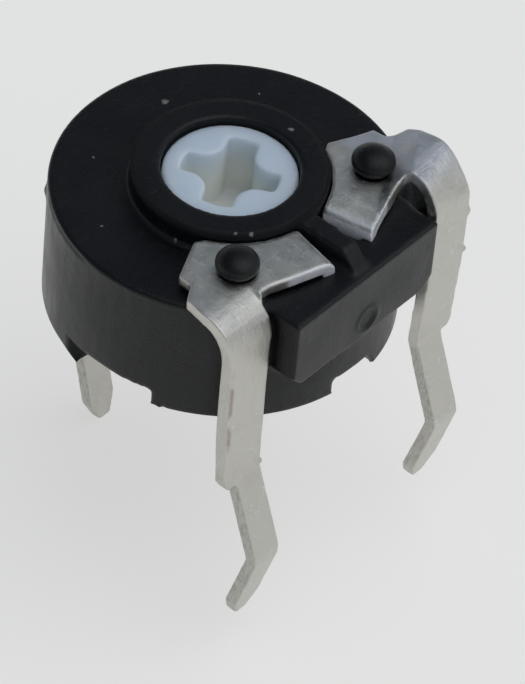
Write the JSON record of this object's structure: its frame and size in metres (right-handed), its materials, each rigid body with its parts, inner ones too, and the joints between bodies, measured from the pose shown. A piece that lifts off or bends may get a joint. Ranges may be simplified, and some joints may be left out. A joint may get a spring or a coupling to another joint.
{
  "type": "trimmer potentiometer",
  "caption": "Round carbon trimmer potentiometer: dark moulded body, white cross-slot rotor that turns between stops, staked sheet-metal terminals with kinked solder pins.",
  "frame": {"origin": "on the rotor's axis, on the plane of the circuit board's top face, where the shoulders of the left pin rest", "axes": "+Z along the rotor's axis, out of the face that is adjusted; +X from the left end terminal to the right end terminal; the centre terminal is at +Y and the end terminals are at -Y"},
  "size_m": [0.0065, 0.007, 0.0086],
  "materials": {
    "black_plastic": "moulded black plastic with a soft sheen",
    "white_plastic": "slightly translucent moulded white plastic",
    "tinned_metal": "satin tin plating with sheared edges",
    "spring_bronze": "rolled bronze",
    "laminate": "brown paper laminate",
    "carbon_print": "matt printed carbon",
    "silver_print": "matt printed silver"
  },
  "bodies": {
    "housing_body": {"housing": "black_plastic", "base": "black_plastic", "track_board": "laminate", "carbon_track": "carbon_print", "left_pad": "silver_print", "right_pad": "silver_print", "left_terminal": "tinned_metal", "right_terminal": "tinned_metal", "centre_terminal": "tinned_metal"},
    "rotor": {"rotor": "white_plastic", "wiper_spring": "spring_bronze"}
  },
  "joints": [
    {"name": "rotor_turn", "type": "hinge", "parent": "housing_body", "child": "rotor", "pos_m": [0, 0, 0.003], "axis": [0, 0, 1], "range_deg": [-142, 93]}
  ]
}
